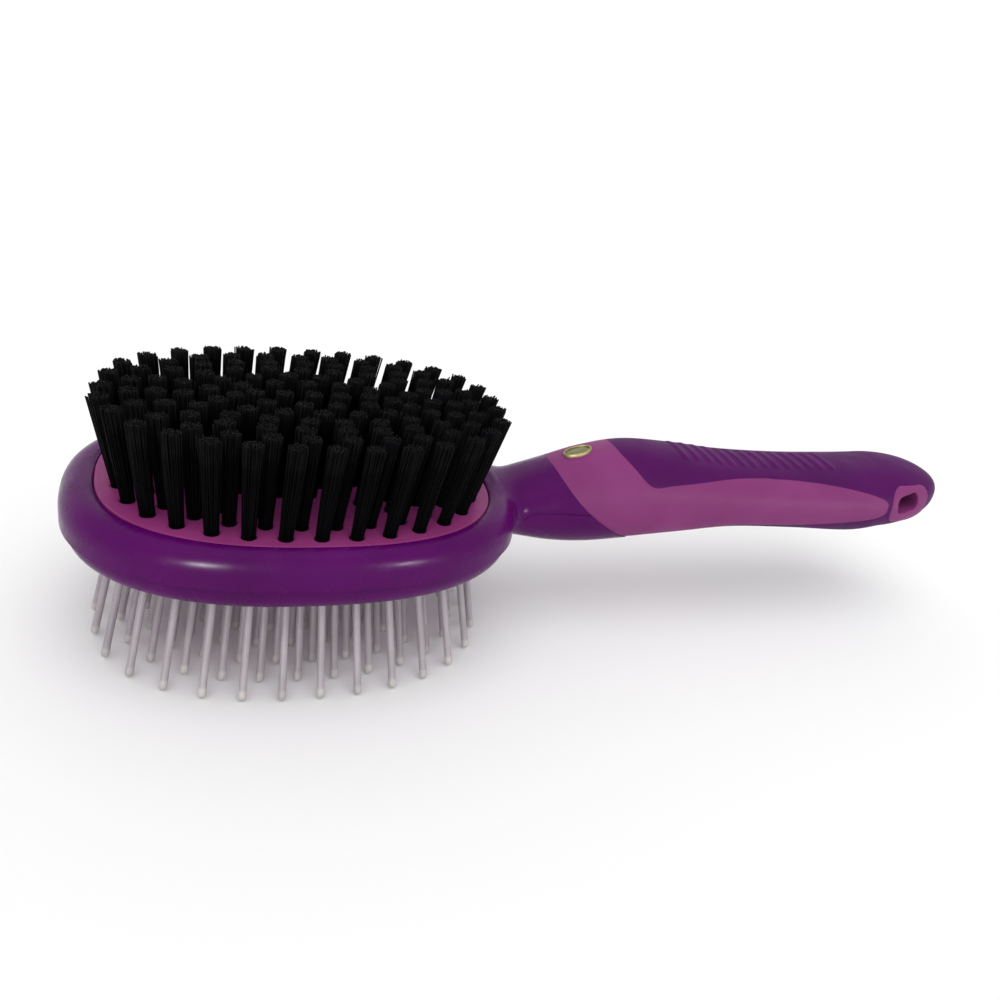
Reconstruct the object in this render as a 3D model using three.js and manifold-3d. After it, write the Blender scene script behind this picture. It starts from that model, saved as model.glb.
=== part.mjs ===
// Double-sided grooming brush: nylon bristle tufts on one face, a sprung pad of pins on the other.
// Millimetres, +Z towards the bristle side, +X along the handle. The drawing origin is the middle
// of the oval head; the finished group is then moved so that the brush stands on z = 0.

import * as THREE from 'three';
import { mergeVertices } from 'three/addons/utils/BufferGeometryUtils.js';
import Module from 'manifold-3d';

const wasm = await Module();
wasm.setup();

// Head: an oval (superellipse) with a rounded rim round a sunken pad.
const HEAD_HALF_LENGTH = 47.3;
const HEAD_HALF_WIDTH = 34.9;
const OVAL_EXPONENT = 2.43;
const RIM_AT_ENDS = 6.5;
const RIM_AT_SIDES = 4.0;
const HEAD_SEGMENTS = 36;
const SEAM_Z = -3.0;

// Clearance between pieces that touch, and how far a cutting solid reaches past what it cuts.
const GAP = 0.3;
const PAST = 1.0;
const OVERLAP = 0.1;
const FAR = 30;
const CUT_CURVE_SEGMENTS = 6;
const CORNER_SEGMENTS = 3;

// Bristle side, heights above the middle of the head.
const PLATE_TOP = 4.4;
const PLATE_THICKNESS = 3.0;
const LEDGE_Z = PLATE_TOP - PLATE_THICKNESS - GAP;
const LEDGE_DEPTH = 1.16;
const PLATE_DEPTH = 1.08;
const TUFT_TIP_Z = 23.1;
const TUFT_BASE_RADIUS = 1.2;
const TUFT_TIP_RADIUS = 1.9;
const TUFT_SIDES = 6;
const TUFT_HOLE_HALF = 1.55;
const TUFT_LAYOUT = {
  halfLength: 36.3,
  halfWidth: 27.6,
  step: 4.3,
  counts: [31, 27, 23, 19, 15, 11],
  starts: [0.05, 0.55, 0.45, 0.55, 0.05, 0.55],
  inCentre: 5,
};
const TUFT_FAN = { lengthways: 1.1, sideways: 1.0, lean: 1.5, leanSpan: 50 };

// Pin side, heights below the middle of the head.
const CUSHION_FACE_Z = -9.0;
const CUSHION_EDGE_Z = -7.4;
const CUSHION_BACK_Z = -4.5;
const FLANGE_THICKNESS = 0.8;
const FLANGE_Z = CUSHION_BACK_Z - FLANGE_THICKNESS;
const FLANGE_DEPTH = 0.64;
const CUSHION_DEPTH = 1.08;
const CUSHION_CROWN_DEPTH = 1.3;
const PIN_TIP_Z = -29.5;
const PIN_RADIUS = 0.85;
const PIN_SIDES = 4;
const PIN_HOLE_HALF = 1.2;
const PIN_LAYOUT = {
  halfLength: 37.4,
  halfWidth: 25.6,
  step: 4.7,
  counts: [30, 26, 22, 18, 13],
  starts: [0.25, 0.75, 0.25, 0.75, 0.25],
  inCentre: 5,
};
const PIN_FAN = { lengthways: 1.11, sideways: 1.28, lean: 0, leanSpan: 50 };
const VENT = { x: 2.9, radius: 1.0, sides: 6 };

// Inside the head: heights, and depths in from the rim's outer wall.
const DIVIDER_THICKNESS = 0.6;
const RETAINER = { bottom: -1.7, top: -0.9, outer: 0.64, inner: 1.2 };

// Steps used to measure along an oval, and the spacing of the middle row in ring steps.
const PATH_STEPS = 720;
const CENTRE_SPACING = 1.25;

// Thin bands behind the plate and the cushion that carry the tufts and the pins.
const BAND_THICKNESS = 0.8;
const TUFT_BAND_HALF_WIDTH = 1.2;
const PIN_BAND_HALF_WIDTH = 1.2;

// Handle sections: station x, half width, top z, bottom z.
const HANDLE_STATIONS = [
  [44.4, 9.6, 4.0, -7.2],
  [57, 10.1, 8.6, -9.9],
  [67, 11.1, 11.9, -10.4],
  [78, 12.2, 13.6, -9.3],
  [92, 12.8, 12.7, -7.6],
  [106, 12.8, 11.1, -6.1],
  [124, 13.0, 10.4, -6.5],
  [142, 13.4, 10.6, -7.4],
  [151, 13.3, 10.9, -6.2],
];
const HANDLE_END = 172.7;
const NOSE_START = 151;
const NOSE_REACH = 22.2;
const NOSE_RISE = 1.8;
const HANDLE_EXPONENT = 2.3;
const HANDLE_SIDES = 16;
const HANDLE_STEPS = 17;
const NOSE_STEPS = 5;
const HALVINGS = 24;

// Where the neck shells end: a joint across the handle that slants and bends back as it goes down,
// with the levels between which it is followed and its clearance along the handle.
const NECK_JOINT = { x: 57.8, z: 8, slope: 0.667, bend: 0.037, top: 16, bottom: -12, step: 4 };
const JOINT_GAP = 0.6;
const NECK_SEAM_START = 47.8;
const NECK_SEAM_END = 51.5;
const INSIDE_HEAD_X = 30;

// The pink core in side view: the front of its top edge, the sweep of its edge back along the top,
// round its end and forward along the bottom, and the front of its lower edge.
const CORE_TOP = [[71.5, 18], [73.0, 12.9]];
const CORE_SWEEP_TOP = [
  [75.3, 10.9], [77.9, 8.5], [80.5, 7.4], [86.5, 8.1], [104, 9.1], [130, 8.0], [145.6, 5.7], [148.9, 3.1],
];
const CORE_SWEEP_BOTTOM = [[145.4, -0.2], [124, -2.6], [106, -3.3], [97, -6.6]];
const CORE_BOTTOM = [95, -12];

// Tang of the core inside the neck, the tongue that carries its boss inside the grip, and the boss
// round the hanging hole.
const TANG = { x0: 52, x1: 74, halfWidth: 5.2, z0: -4.0, z1: 3.4 };
const TONGUE = { x0: 140, x1: 152, halfWidth: 5.0, z0: 1.0, z1: 5.0 };
const BOSS = { x: 156.7, z: 3.3, halfLength: 6.5, halfHeight: 4.9, corner: 3.2, faceY: 12.6 };
const HOLE = { x: 155.5, z: 4.0, halfLength: 3.4, halfHeight: 2.45, corner: 1.2, tilt: Math.PI / 18 };

// Ridges across the top of the grip.
const RIDGE = { count: 14, firstX: 90.5, pitch: 3.4, radius: 1.0, length: 10, height: 0.45, sides: 6 };

// Oval badge on top of the handle, blank: its face lies lower than its bezel.
const BADGE = { x: 64.0, halfLength: 3.5, halfWidth: 2.2, rim: 0.45, thickness: 0.7, faceThickness: 0.49 };
const BADGE_STANDS_OFF = 0.45;
const BADGE_CURVE_SEGMENTS = 8;

const FINISHES = {
  glossPurple: { color: 0x5c195f, roughness: 0.28, metalness: 0 },
  softPurple: { color: 0x5f1e61, roughness: 0.5, metalness: 0 },
  pink: { color: 0x8a4678, roughness: 0.4, metalness: 0 },
  padPink: { color: 0x78376a, roughness: 0.5, metalness: 0 },
  rubberPink: { color: 0x8f4c7c, roughness: 0.7, metalness: 0 },
  blackNylon: { color: 0x08080a, roughness: 0.6, metalness: 0 },
  pinPlastic: { color: 0xcfc9cc, roughness: 0.35, metalness: 0 },
  badgeGold: { color: 0xb59b55, roughness: 0.35, metalness: 1 },
  badgeOlive: { color: 0x81785a, roughness: 0.4, metalness: 0 },
};

// ---- solids ---------------------------------------------------------------------------------

function signedVolume(positions, index) {
  const a = new THREE.Vector3();
  const b = new THREE.Vector3();
  const c = new THREE.Vector3();
  let volume = 0;
  for (let i = 0; i < index.length; i += 3) {
    a.fromArray(positions, index[i] * 3);
    b.fromArray(positions, index[i + 1] * 3);
    c.fromArray(positions, index[i + 2] * 3);
    volume += a.dot(b.cross(c)) / 6;
  }
  return volume;
}

function solid(geometry) {
  const bare = geometry.clone();
  bare.deleteAttribute('normal');
  bare.deleteAttribute('uv');
  const merged = mergeVertices(bare, 1e-4);
  const positions = Float32Array.from(merged.attributes.position.array);
  const index = Uint32Array.from(merged.index.array);
  if (signedVolume(positions, index) < 0) index.reverse();
  return new wasm.Manifold(new wasm.Mesh({ numProp: 3, vertProperties: positions, triVerts: index }));
}

function geometryOf(body) {
  const mesh = body.getMesh();
  const geometry = new THREE.BufferGeometry();
  geometry.setAttribute('position', new THREE.BufferAttribute(mesh.vertProperties, 3));
  geometry.setIndex(new THREE.BufferAttribute(mesh.triVerts, 1));
  geometry.computeVertexNormals();
  return geometry;
}

function named(name, body, finish) {
  const mesh = new THREE.Mesh(geometryOf(body), new THREE.MeshStandardMaterial(FINISHES[finish]));
  mesh.name = name;
  return mesh;
}

function box(x0, x1, halfWidth, z0, z1) {
  const geometry = new THREE.BoxGeometry(x1 - x0, 2 * halfWidth, z1 - z0);
  geometry.translate((x0 + x1) / 2, 0, (z0 + z1) / 2);
  return solid(geometry);
}

// A prism across the brush, from an outline drawn in side view about the point place, tilted so
// that its end towards the handle's end rises.
function sidePrism(shape, place, tilt, halfWidth, curveSegments) {
  const options = { depth: 2 * halfWidth, bevelEnabled: false, curveSegments };
  const geometry = new THREE.ExtrudeGeometry(shape, options);
  geometry.translate(0, 0, -halfWidth);
  geometry.rotateZ(tilt);
  geometry.rotateX(Math.PI / 2);
  geometry.translate(place.x, 0, place.z);
  return solid(geometry);
}

function sideCut(shape) {
  return sidePrism(shape, { x: 0, z: 0 }, 0, FAR, CUT_CURVE_SEGMENTS);
}

function polygon(points) {
  return new THREE.Shape(points.map(([x, y]) => new THREE.Vector2(x, y)));
}

// ---- head -----------------------------------------------------------------------------------

function ovalPoint(halfLength, halfWidth, angle) {
  const power = 2 / OVAL_EXPONENT;
  const c = Math.cos(angle);
  const s = Math.sin(angle);
  const x = halfLength * Math.sign(c) * Math.abs(c) ** power;
  const y = halfWidth * Math.sign(s) * Math.abs(s) ** power;
  return new THREE.Vector2(x, y);
}

// Half sizes of the oval at a depth into the rim: 0 is its outer wall, 1 is the edge of the pad.
function rimOval(depth) {
  return {
    halfLength: HEAD_HALF_LENGTH - depth * RIM_AT_ENDS,
    halfWidth: HEAD_HALF_WIDTH - depth * RIM_AT_SIDES,
  };
}

// A ring that follows ovals: each profile point is [halfLength, halfWidth, z]; the loop closes.
function ovalRing(profile) {
  const points = profile.map((point, i) => new THREE.Vector2(1 + i, point[2]));
  points.push(points[0].clone());
  const geometry = new THREE.LatheGeometry(points, HEAD_SEGMENTS);
  geometry.rotateX(Math.PI / 2);
  const position = geometry.attributes.position;
  for (let i = 0; i < position.count; i += 1) {
    const angle = Math.atan2(position.getY(i), position.getX(i));
    const order = Math.round(Math.hypot(position.getX(i), position.getY(i))) - 1;
    const [halfLength, halfWidth, z] = profile[order];
    const p = ovalPoint(halfLength, halfWidth, angle);
    position.setXYZ(i, p.x, p.y, z);
  }
  return solid(geometry);
}

function rimRing(profile) {
  return ovalRing(profile.map(([depth, z]) => {
    const oval = rimOval(depth);
    return [oval.halfLength, oval.halfWidth, z];
  }));
}

function ovalSlab(depth, z0, z1) {
  const { halfLength, halfWidth } = rimOval(depth);
  const outline = [];
  for (let i = 0; i < HEAD_SEGMENTS; i += 1) {
    outline.push(ovalPoint(halfLength, halfWidth, (2 * Math.PI * i) / HEAD_SEGMENTS));
  }
  const options = { depth: z1 - z0, bevelEnabled: false };
  const geometry = new THREE.ExtrudeGeometry(new THREE.Shape(outline), options);
  geometry.translate(0, 0, z0);
  return solid(geometry);
}

// Evenly spaced points round an oval, by length along it, starting at the middle of one side. The
// shift is the part of one spacing that the first point stands on from there.
function pointsRoundOval(halfLength, halfWidth, count, shift) {
  const fine = [];
  for (let i = 0; i <= PATH_STEPS; i += 1) {
    fine.push(ovalPoint(halfLength, halfWidth, -Math.PI / 2 + (2 * Math.PI * i) / PATH_STEPS));
  }
  const path = new THREE.Path(fine);
  const points = [];
  for (let i = 0; i < count; i += 1) points.push(path.getPointAt((i + shift) / count));
  return points;
}

// Every ring of tufts or pins, and the short row in the middle, as lists of points.
function rings({ halfLength, halfWidth, step, counts, starts, inCentre }) {
  const list = counts.map((count, i) => {
    const size = { halfLength: halfLength - i * step, halfWidth: halfWidth - i * step };
    return { ...size, points: pointsRoundOval(size.halfLength, size.halfWidth, count, starts[i]) };
  });
  const reach = ((inCentre - 1) / 2) * step * CENTRE_SPACING;
  const row = [];
  for (let i = 0; i < inCentre; i += 1) row.push(new THREE.Vector2(i * step * CENTRE_SPACING - reach, 0));
  list.push({ halfLength: reach, halfWidth: 0, points: row });
  return list;
}

// Outer wall, crest and lip, then the ledge that the bristle plate sits on.
function upperRim() {
  const seam = SEAM_Z + GAP / 2;
  return rimRing([
    [0.05, seam], [0, -0.8], [0.06, 1.5], [0.26, 3.4], [0.58, 4.5], [0.86, 4.7], [1, 4.3],
    [1, LEDGE_Z], [LEDGE_DEPTH, LEDGE_Z], [LEDGE_DEPTH, GAP], [0.5, GAP], [0.5, seam],
  ]);
}

// Outer wall, a little inside the upper one, and the lip that holds the cushion's edge.
function lowerRim() {
  const seam = SEAM_Z - GAP / 2;
  const lip = FLANGE_Z - GAP;
  return rimRing([
    [0.12, seam], [0.16, -5.2], [0.42, -7.2], [0.8, -7.8], [1, -7.3],
    [1, lip], [0.55, lip], [0.55, seam],
  ]);
}

// ---- handle ---------------------------------------------------------------------------------

function stationCurve(column) {
  const points = HANDLE_STATIONS.map((station) => new THREE.Vector2(station[0], station[column]));
  return new THREE.SplineCurve(points);
}

const halfWidthCurve = stationCurve(1);
const topCurve = stationCurve(2);
const bottomCurve = stationCurve(3);

// Value of a station curve at x, found by halving the stretch of curve that holds it.
function valueAt(curve, x) {
  let low = 0;
  let high = 1;
  for (let i = 0; i < HALVINGS; i += 1) {
    const middle = (low + high) / 2;
    if (curve.getPoint(middle).x < x) low = middle;
    else high = middle;
  }
  return curve.getPoint(low).y;
}

// Half width, middle z and half height of the handle at x. The last stretch closes as an ellipse.
function handleSection(x) {
  const onStations = Math.min(x, NOSE_START);
  const halfWidth = valueAt(halfWidthCurve, onStations);
  const top = valueAt(topCurve, onStations);
  const bottom = valueAt(bottomCurve, onStations);
  const along = Math.max(0, x - NOSE_START) / NOSE_REACH;
  const shrink = Math.sqrt(1 - along * along);
  return {
    halfWidth: halfWidth * shrink,
    middle: (top + bottom) / 2 + NOSE_RISE * along,
    halfHeight: ((top - bottom) / 2) * shrink,
  };
}

function topOfHandle(x) {
  const section = handleSection(x);
  return section.middle + section.halfHeight;
}

function handleStationXs() {
  const xs = [];
  const first = HANDLE_STATIONS[0][0];
  for (let i = 0; i < HANDLE_STEPS; i += 1) xs.push(first + ((NOSE_START - first) * i) / HANDLE_STEPS);
  const lastAngle = Math.asin((HANDLE_END - NOSE_START) / NOSE_REACH);
  for (let i = 0; i <= NOSE_STEPS; i += 1) {
    xs.push(NOSE_START + NOSE_REACH * Math.sin((lastAngle * i) / NOSE_STEPS));
  }
  return xs;
}

function handleBody() {
  const xs = handleStationXs();
  const geometry = new THREE.CylinderGeometry(1, 1, xs.length - 1, HANDLE_SIDES, xs.length - 1);
  const position = geometry.attributes.position;
  const power = 2 / HANDLE_EXPONENT;
  for (let i = 0; i < position.count; i += 1) {
    const x = xs[Math.round(position.getY(i) + (xs.length - 1) / 2)];
    const section = handleSection(x);
    const across = position.getX(i);
    const up = position.getZ(i);
    const y = section.halfWidth * Math.sign(across) * Math.abs(across) ** power;
    const z = section.middle + section.halfHeight * Math.sign(up) * Math.abs(up) ** power;
    position.setXYZ(i, x, y, z);
  }
  return solid(geometry);
}

function neckJointX(z) {
  const down = NECK_JOINT.z - z;
  return NECK_JOINT.x + NECK_JOINT.slope * down + NECK_JOINT.bend * down * down;
}

// Points down the neck joint from one level to another, set back along the handle by a clearance.
function neckJointLine(fromZ, toZ, back) {
  const steps = Math.ceil(Math.abs(fromZ - toZ) / NECK_JOINT.step);
  const line = [];
  for (let i = 0; i <= steps; i += 1) {
    const z = fromZ + ((toZ - fromZ) * i) / steps;
    line.push([neckJointX(z) + back, z]);
  }
  return line;
}

// Side-view region of the neck on one side of the seam between the two shells. The seam steps up
// where the neck leaves the head.
function neckRegion(side) {
  const far = side > 0 ? NECK_JOINT.top : NECK_JOINT.bottom;
  const headSeam = SEAM_Z + (side * GAP) / 2;
  const neckSeam = (side * GAP) / 2;
  return polygon([
    [INSIDE_HEAD_X, headSeam], [NECK_SEAM_START, headSeam], [NECK_SEAM_END, neckSeam],
    ...neckJointLine(neckSeam, far, 0), [INSIDE_HEAD_X, far],
  ]);
}

// Side-view outline of the pink core between the neck joint and the grip, larger by grow all round.
function coreOutline(grow) {
  const [[topX, topZ], [shoulderX, shoulderZ]] = CORE_TOP;
  const [bottomX, bottomZ] = CORE_BOTTOM;
  const grown = (points, rise) => points.map(([x, z]) => new THREE.Vector2(x + grow, z + rise));
  const shape = new THREE.Shape();
  shape.moveTo(neckJointX(topZ) + JOINT_GAP, topZ);
  shape.lineTo(topX + grow, topZ);
  shape.lineTo(shoulderX + grow, shoulderZ + grow);
  shape.splineThru([...grown(CORE_SWEEP_TOP, grow), ...grown(CORE_SWEEP_BOTTOM, -grow)]);
  shape.lineTo(bottomX + grow, bottomZ);
  for (const [x, z] of neckJointLine(bottomZ, topZ, JOINT_GAP)) shape.lineTo(x, z);
  return shape;
}

function roundedSquare(halfLength, halfHeight, corner) {
  const shape = new THREE.Shape();
  shape.moveTo(halfLength, -halfHeight + corner);
  shape.absarc(halfLength - corner, halfHeight - corner, corner, 0, Math.PI / 2);
  shape.absarc(-halfLength + corner, halfHeight - corner, corner, Math.PI / 2, Math.PI);
  shape.absarc(-halfLength + corner, -halfHeight + corner, corner, Math.PI, 1.5 * Math.PI);
  shape.absarc(halfLength - corner, -halfHeight + corner, corner, 1.5 * Math.PI, 2 * Math.PI);
  return shape;
}

function bossBar(grow, halfWidth) {
  const shape = roundedSquare(BOSS.halfLength + grow, BOSS.halfHeight + grow, BOSS.corner);
  return sidePrism(shape, BOSS, 0, halfWidth, CORNER_SEGMENTS);
}

function hangingHole() {
  const shape = roundedSquare(HOLE.halfLength, HOLE.halfHeight, HOLE.corner);
  return sidePrism(shape, HOLE, HOLE.tilt, FAR, CORNER_SEGMENTS);
}

function tang(grow) {
  return box(TANG.x0 - grow, TANG.x1, TANG.halfWidth + grow, TANG.z0 - grow, TANG.z1 + grow);
}

function tongue(grow) {
  return box(TONGUE.x0, TONGUE.x1, TONGUE.halfWidth + grow, TONGUE.z0 - grow, TONGUE.z1 + grow);
}

function upperShell(handle) {
  const neck = handle.intersect(sideCut(neckRegion(1))).subtract(tang(GAP));
  return upperRim().add(neck);
}

function lowerShell(handle) {
  const neck = handle.intersect(sideCut(neckRegion(-1))).subtract(tang(GAP));
  return lowerRim().add(neck);
}

function handleCore(handle) {
  const band = handle.intersect(sideCut(coreOutline(0)));
  return band.add(tang(0)).add(tongue(0)).add(bossBar(0, BOSS.faceY)).subtract(hangingHole());
}

// The bars that stand up as ridges across the top of the grip.
function ridgeBars() {
  const bars = [];
  for (let i = 0; i < RIDGE.count; i += 1) {
    const x = RIDGE.firstX + i * RIDGE.pitch;
    const bar = new THREE.CylinderGeometry(RIDGE.radius, RIDGE.radius, RIDGE.length, RIDGE.sides);
    bar.translate(x, 0, topOfHandle(x) + RIDGE.height - RIDGE.radius);
    bars.push(solid(bar));
  }
  return bars;
}

function gripSleeve(handle) {
  const { top, bottom } = NECK_JOINT;
  const neckAndJoint = sideCut(polygon([
    [0, bottom], ...neckJointLine(bottom, top, 2 * PAST), [0, top],
  ]));
  const sleeve = handle
    .subtract(neckAndJoint)
    .subtract(sideCut(coreOutline(GAP)))
    .subtract(tongue(GAP))
    .subtract(bossBar(GAP, FAR));
  return ridgeBars().reduce((body, bar) => body.add(bar), sleeve);
}

// ---- badge ----------------------------------------------------------------------------------

function ellipsePlate(halfLength, halfWidth, z0, z1) {
  const shape = new THREE.Shape();
  shape.absellipse(0, 0, halfLength, halfWidth, 0, 2 * Math.PI);
  const options = { depth: z1 - z0, bevelEnabled: false, curveSegments: BADGE_CURVE_SEGMENTS };
  const geometry = new THREE.ExtrudeGeometry(shape, options);
  geometry.translate(0, 0, z0);
  return solid(geometry);
}

function badge() {
  const { halfLength, halfWidth, rim, thickness, faceThickness } = BADGE;
  const group = new THREE.Group();
  const opening = ellipsePlate(halfLength - rim, halfWidth - rim, -PAST, thickness + PAST);
  const bezel = ellipsePlate(halfLength, halfWidth, 0, thickness).subtract(opening);
  const face = ellipsePlate(halfLength - rim - GAP, halfWidth - rim - GAP, 0, faceThickness);
  group.add(named('badge_bezel', bezel, 'badgeGold'));
  group.add(named('badge_face', face, 'badgeOlive'));
  const rise = topOfHandle(BADGE.x + halfLength) - topOfHandle(BADGE.x - halfLength);
  group.rotation.y = -Math.atan2(rise, 2 * halfLength);
  group.position.set(BADGE.x, 0, topOfHandle(BADGE.x) + BADGE_STANDS_OFF);
  return group;
}

// ---- tufts and pins -------------------------------------------------------------------------

// A straight prism from one point to another, with its own radius at each end.
function rod(from, to, fromRadius, toRadius, sides) {
  const along = to.clone().sub(from);
  const length = along.length();
  const upright = new THREE.Vector3(0, 1, 0);
  const turn = new THREE.Quaternion().setFromUnitVectors(upright, along.normalize());
  const geometry = new THREE.CylinderGeometry(toRadius, fromRadius, length, sides);
  geometry.rotateY(Math.PI / sides);
  geometry.translate(0, length / 2, 0);
  geometry.applyQuaternion(turn);
  geometry.translate(from.x, from.y, from.z);
  return solid(geometry);
}

// Tufts and pins alike: their rings, how they fan out between the face they leave and their tips,
// and the level of the bands that carry them.
const TUFTS = {
  rings: rings(TUFT_LAYOUT),
  fan: TUFT_FAN,
  faceZ: PLATE_TOP,
  tipZ: TUFT_TIP_Z,
  bandZ: LEDGE_Z - BAND_THICKNESS,
  bandHalfWidth: TUFT_BAND_HALF_WIDTH,
};
const PINS = {
  rings: rings(PIN_LAYOUT),
  fan: PIN_FAN,
  faceZ: CUSHION_FACE_Z,
  tipZ: PIN_TIP_Z,
  bandZ: CUSHION_BACK_Z + GAP,
  bandHalfWidth: PIN_BAND_HALF_WIDTH,
};

// The point at height z on the line of the tuft or pin that leaves its face at (x, y). Tips lean
// towards the handle, less so near the ends of the head.
function onLine(kind, { x, y }, z) {
  const { lengthways, sideways, lean, leanSpan } = kind.fan;
  const leanHere = lean * (1 - (x / leanSpan) ** 2);
  const tip = new THREE.Vector3(x * lengthways + leanHere, y * sideways, kind.tipZ);
  const foot = new THREE.Vector3(x, y, kind.faceZ);
  return foot.lerp(tip, (z - kind.faceZ) / (kind.tipZ - kind.faceZ));
}

// The band that carries one ring, or the bar that carries the middle row.
function carrier(kind, ring) {
  const { points } = ring;
  const half = kind.bandHalfWidth;
  const top = kind.bandZ + BAND_THICKNESS;
  const reach = ring.halfLength + half;
  if (ring.halfWidth === 0) return box(-reach, reach, half, kind.bandZ, top);
  const edge = (side) => points.map((point, i) => {
    const before = points[(i + points.length - 1) % points.length];
    const after = points[(i + 1) % points.length];
    const along = after.clone().sub(before).normalize();
    return new THREE.Vector2(point.x + side * along.y * half, point.y - side * along.x * half);
  });
  const shape = new THREE.Shape(edge(1));
  shape.holes.push(new THREE.Path(edge(-1)));
  const geometry = new THREE.ExtrudeGeometry(shape, { depth: BAND_THICKNESS, bevelEnabled: false });
  geometry.translate(0, 0, kind.bandZ);
  return solid(geometry);
}

// One ring's rods, rooted in the middle of its band and running on to the height endZ.
function ringOf(kind, ring, endZ, footRadius, tipRadius, sides) {
  const rootZ = kind.bandZ + BAND_THICKNESS / 2;
  let body = carrier(kind, ring);
  for (const point of ring.points) {
    const from = onLine(kind, point, rootZ);
    const to = onLine(kind, point, endZ);
    body = body.add(rod(from, to, footRadius, tipRadius, sides));
  }
  return body;
}

// The tufts are trimmed flat, all to one level.
function tuftRing(ring) {
  const untrimmed = ringOf(TUFTS, ring, TUFT_TIP_Z + PAST, TUFT_BASE_RADIUS, TUFT_TIP_RADIUS, TUFT_SIDES);
  const reach = HEAD_HALF_LENGTH + FAR;
  return untrimmed.subtract(box(-reach, reach, reach, TUFT_TIP_Z, TUFT_TIP_Z + FAR));
}

function pinRing(ring) {
  return ringOf(PINS, ring, PIN_TIP_Z, PIN_RADIUS, PIN_RADIUS, PIN_SIDES);
}

// Square holes along the lines of the tufts or pins, between two heights.
function drilled(body, kind, fromZ, toZ, half) {
  const radius = half * Math.SQRT2;
  let result = body;
  for (const ring of kind.rings) {
    for (const point of ring.points) {
      result = result.subtract(rod(onLine(kind, point, fromZ), onLine(kind, point, toZ), radius, radius, 4));
    }
  }
  return result;
}

function bristlePlate() {
  const bottom = PLATE_TOP - PLATE_THICKNESS;
  const plate = ovalSlab(PLATE_DEPTH, bottom, PLATE_TOP);
  return drilled(plate, TUFTS, bottom - PAST, PLATE_TOP + PAST, TUFT_HOLE_HALF);
}

// A pad with a lower edge, a flange behind it that the head clamps, holes for the pins and a vent.
function pinCushion() {
  const side = ovalSlab(CUSHION_DEPTH, CUSHION_EDGE_Z, CUSHION_BACK_Z);
  const crown = ovalSlab(CUSHION_CROWN_DEPTH, CUSHION_FACE_Z, CUSHION_EDGE_Z + OVERLAP);
  const flange = ovalSlab(FLANGE_DEPTH, FLANGE_Z, CUSHION_BACK_Z);
  const from = CUSHION_FACE_Z - PAST;
  const to = CUSHION_BACK_Z + PAST;
  const pad = drilled(side.add(crown).add(flange), PINS, from, to, PIN_HOLE_HALF);
  const ventStart = new THREE.Vector3(VENT.x, 0, from);
  const ventEnd = new THREE.Vector3(VENT.x, 0, to);
  return pad.subtract(rod(ventStart, ventEnd, VENT.radius, VENT.radius, VENT.sides));
}

// The wall between the bristle plate and the air behind the cushion.
function headDivider() {
  return ovalSlab(FLANGE_DEPTH, -DIVIDER_THICKNESS, 0);
}

// The ring that stops the cushion's flange from rising into the head.
function cushionRetainer() {
  const { bottom, top, outer, inner } = RETAINER;
  return rimRing([[outer, bottom], [outer, top], [inner, top], [inner, bottom]]);
}

// ---- assembly -------------------------------------------------------------------------------

function head() {
  const group = new THREE.Group();
  group.add(named('bristle_plate', bristlePlate(), 'padPink'));
  group.add(named('head_divider', headDivider(), 'padPink'));
  group.add(named('cushion_retainer', cushionRetainer(), 'pink'));
  TUFTS.rings.forEach((ring, i) => group.add(named(`tuft_ring_${i + 1}`, tuftRing(ring), 'blackNylon')));
  group.add(named('pin_cushion', pinCushion(), 'rubberPink'));
  PINS.rings.forEach((ring, i) => group.add(named(`pin_ring_${i + 1}`, pinRing(ring), 'pinPlastic')));
  return group;
}

function handleParts() {
  const group = new THREE.Group();
  const handle = handleBody();
  group.add(named('upper_shell', upperShell(handle), 'glossPurple'));
  group.add(named('lower_shell', lowerShell(handle), 'glossPurple'));
  group.add(named('handle_core', handleCore(handle), 'pink'));
  group.add(named('grip_sleeve', gripSleeve(handle), 'softPurple'));
  group.add(badge());
  return group;
}

// Centred over its footprint and standing on z = 0.
function standing(group) {
  group.updateMatrixWorld(true);
  const bounds = new THREE.Box3().setFromObject(group, true);
  const centre = bounds.getCenter(new THREE.Vector3());
  group.position.set(-centre.x, -centre.y, -bounds.min.z);
  return group;
}

const brush = new THREE.Group();
brush.add(head(), handleParts());

export default standing(brush);
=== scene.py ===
"""Double-sided grooming brush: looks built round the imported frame, in metres.

Shapes are worked out in millimetres in the head's own frame (origin in the middle of the oval head,
+X along the handle, +Z towards the bristles) and are moved to the row frame when a mesh is made.
"""
import math

import bpy
import numpy as np
from mathutils import Matrix, Vector


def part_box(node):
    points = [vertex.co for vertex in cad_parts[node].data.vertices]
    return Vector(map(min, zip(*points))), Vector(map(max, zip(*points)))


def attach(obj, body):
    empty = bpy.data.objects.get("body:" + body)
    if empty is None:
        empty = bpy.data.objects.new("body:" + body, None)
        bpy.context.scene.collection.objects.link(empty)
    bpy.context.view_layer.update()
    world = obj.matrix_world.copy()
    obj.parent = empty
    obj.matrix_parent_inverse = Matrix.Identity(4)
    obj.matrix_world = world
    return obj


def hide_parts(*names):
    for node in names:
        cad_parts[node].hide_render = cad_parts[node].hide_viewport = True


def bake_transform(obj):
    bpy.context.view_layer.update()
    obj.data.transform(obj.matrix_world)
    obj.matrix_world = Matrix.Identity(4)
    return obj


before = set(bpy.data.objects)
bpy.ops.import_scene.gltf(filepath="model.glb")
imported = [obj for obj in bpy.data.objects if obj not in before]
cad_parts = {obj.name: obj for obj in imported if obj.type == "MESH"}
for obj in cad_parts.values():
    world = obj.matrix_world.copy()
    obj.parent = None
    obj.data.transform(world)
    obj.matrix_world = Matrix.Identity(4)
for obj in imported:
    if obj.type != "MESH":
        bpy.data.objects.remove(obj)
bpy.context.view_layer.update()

MM = 0.001

# ---- driving sizes, millimetres in the head's frame -------------------------------------------

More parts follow.
